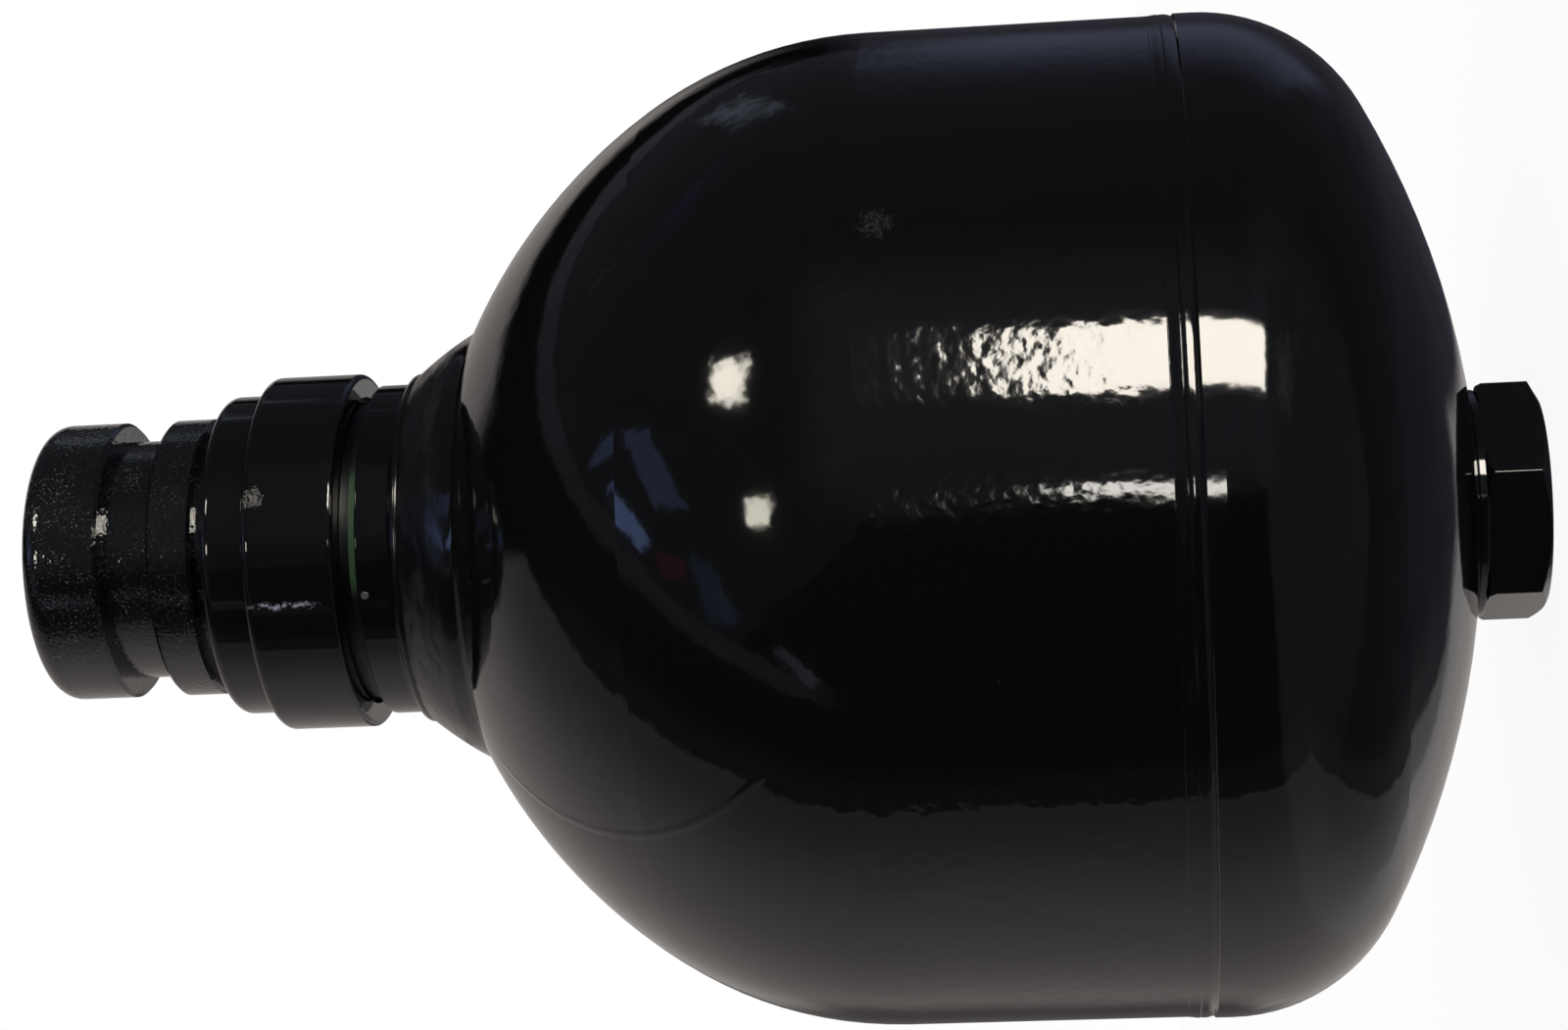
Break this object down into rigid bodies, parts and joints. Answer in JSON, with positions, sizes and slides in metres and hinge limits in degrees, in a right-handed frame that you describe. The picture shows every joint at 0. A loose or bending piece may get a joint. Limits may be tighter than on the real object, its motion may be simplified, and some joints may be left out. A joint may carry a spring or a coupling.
{
  "type": "bladder accumulator",
  "caption": "Bladder accumulator: welded steel pressure vessel with a stepped fluid port and poppet at one end and a hexagon gas plug at the other.",
  "frame": {"origin": "on the vessel's axis, in the plane of the gas plug's outer face, on which it stands", "axes": "+Z along the axis, from the gas plug up to the fluid port; +X and +Y across the vessel"},
  "size_m": [0.1404, 0.1404, 0.2124],
  "materials": {
    "gloss_paint": "thick gloss black enamel, slightly orange-peeled",
    "overspray_paint": "thin black overspray, satin and speckled",
    "turned_steel": "turned",
    "plated_steel": "zinc plated",
    "bladder_rubber": "moulded nitrile",
    "seal_rubber": "moulded",
    "green_seal": "moulded, dark green",
    "white_ptfe": "turned"
  },
  "bodies": {
    "accumulator": {"shell_body": "gloss_paint", "shell_cap": "gloss_paint", "seam_weld": "gloss_paint", "backing_ring": "turned_steel", "bladder": "bladder_rubber", "gas_boss": "turned_steel", "boss_seal": "seal_rubber", "gas_plug": "gloss_paint", "plug_washer": "gloss_paint", "plug_seal": "seal_rubber", "port_body": "turned_steel", "anti_extrusion_ring": "seal_rubber", "support_washer": "turned_steel", "port_seal": "seal_rubber", "backup_ring": "white_ptfe", "spacer_ring": "turned_steel", "face_seal": "green_seal", "lock_nut": "gloss_paint", "port_adapter": "overspray_paint", "adapter_seal": "seal_rubber", "poppet_spring": "plated_steel"},
    "poppet_assembly": {"poppet": "turned_steel", "stop_washer": "plated_steel", "poppet_nut": "plated_steel"}
  },
  "joints": [
    {"name": "poppet_slide", "type": "slide", "parent": "accumulator", "child": "poppet_assembly", "axis": [0, 0, 1], "range_m": [0, 0.005], "stiffness_N_per_m": 600, "springref_m": -0.005, "deforming": ["poppet_spring"]}
  ]
}
